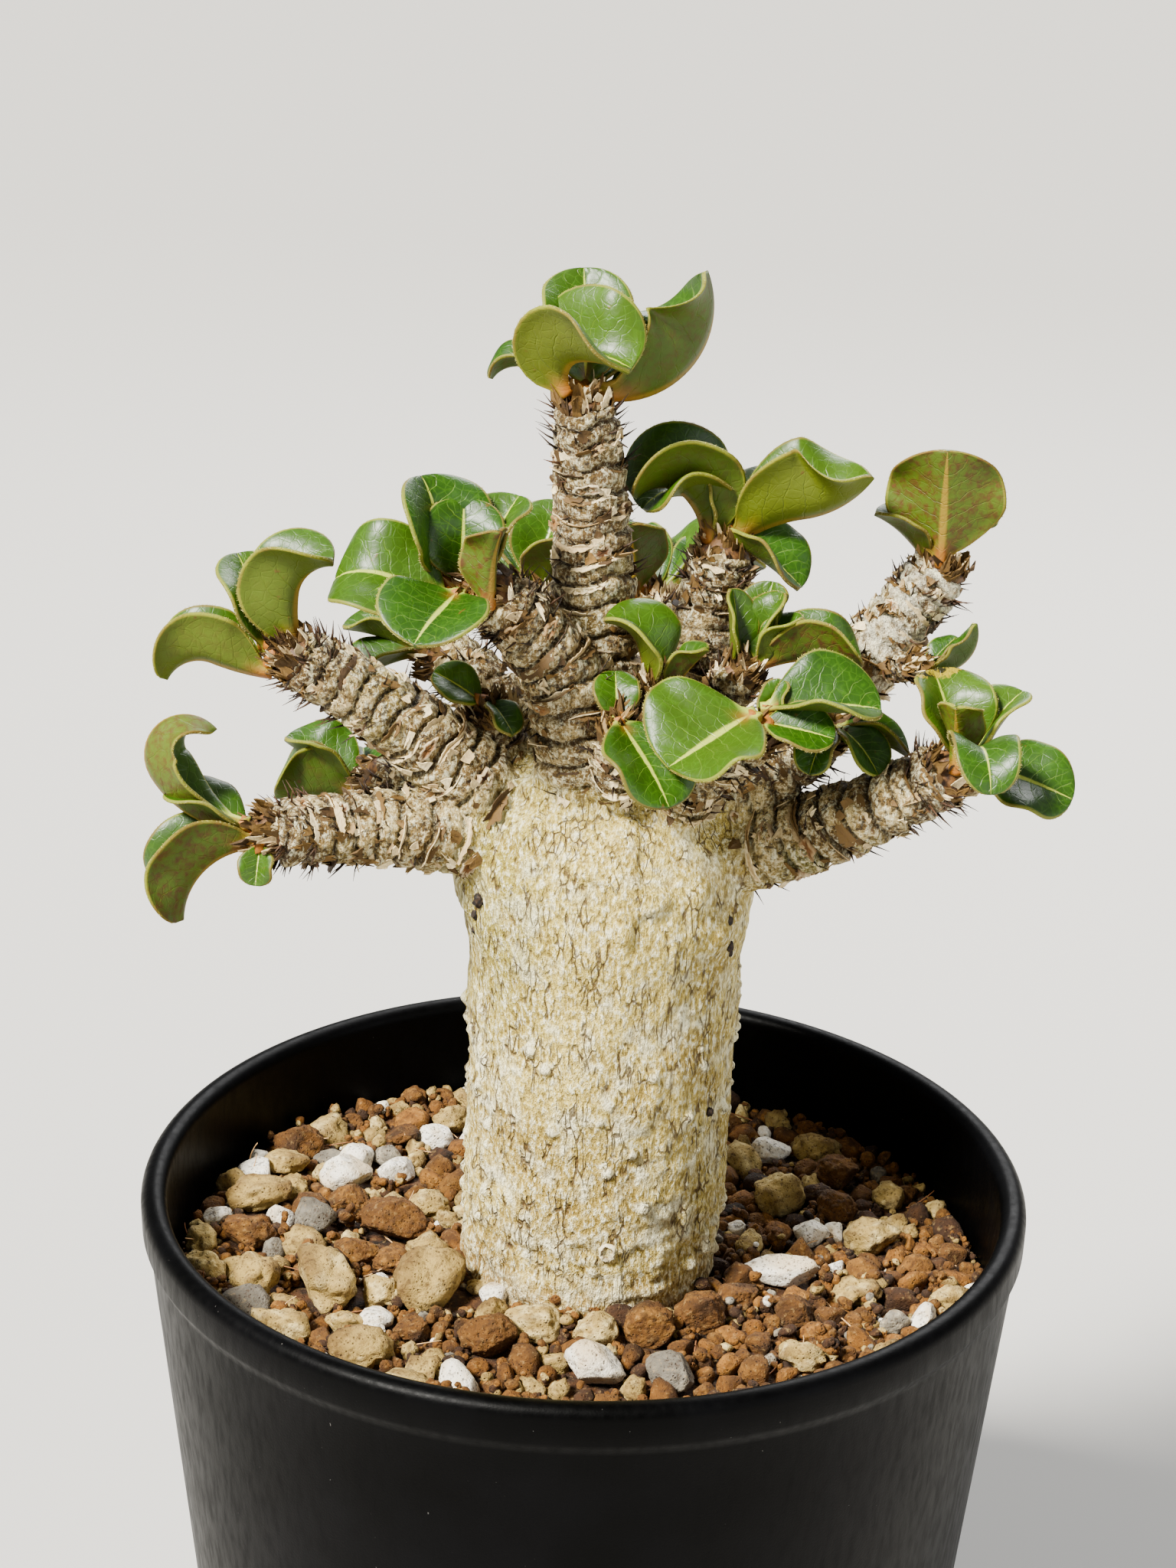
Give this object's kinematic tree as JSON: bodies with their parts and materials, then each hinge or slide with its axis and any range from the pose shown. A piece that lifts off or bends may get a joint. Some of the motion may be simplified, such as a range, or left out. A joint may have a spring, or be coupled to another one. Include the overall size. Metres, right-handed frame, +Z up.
{
  "type": "potted caudex succulent",
  "caption": "Potted succulent with a swollen pale trunk, ringed bristly branches and curled leathery leaves, in a stony mix in a round black pot.",
  "frame": {"origin": "centre of the flat underside of the pot, on the surface it stands on", "axes": "+Z up from the pot's base to the top leaves, -Y to the side that the picture shows, +X to the picture's right"},
  "size_m": [0.12, 0.12, 0.2316],
  "materials": {
    "pot_plastic": "satin",
    "mineral_mix": "matte",
    "bark": "matte",
    "leaf": "satin"
  },
  "bodies": {
    "root": {"pot": "pot_plastic", "soil_mix": "mineral_mix", "caudex": "bark", "rosette_top": "leaf", "rosette_left_mid": "leaf", "rosette_left_mid_back": "leaf", "rosette_left_upper": "leaf", "rosette_left_lower": "leaf", "rosette_left_back": "leaf", "rosette_left_small": "leaf", "rosette_back_left": "leaf", "rosette_back_right": "leaf", "rosette_right_centre": "leaf", "rosette_right_upper": "leaf", "rosette_right_twig": "leaf", "rosette_front_a": "leaf", "rosette_front_b": "leaf", "rosette_front_c": "leaf", "rosette_front_d": "leaf", "rosette_front_e": "leaf", "rosette_right_lower": "leaf"}
  },
  "joints": []
}
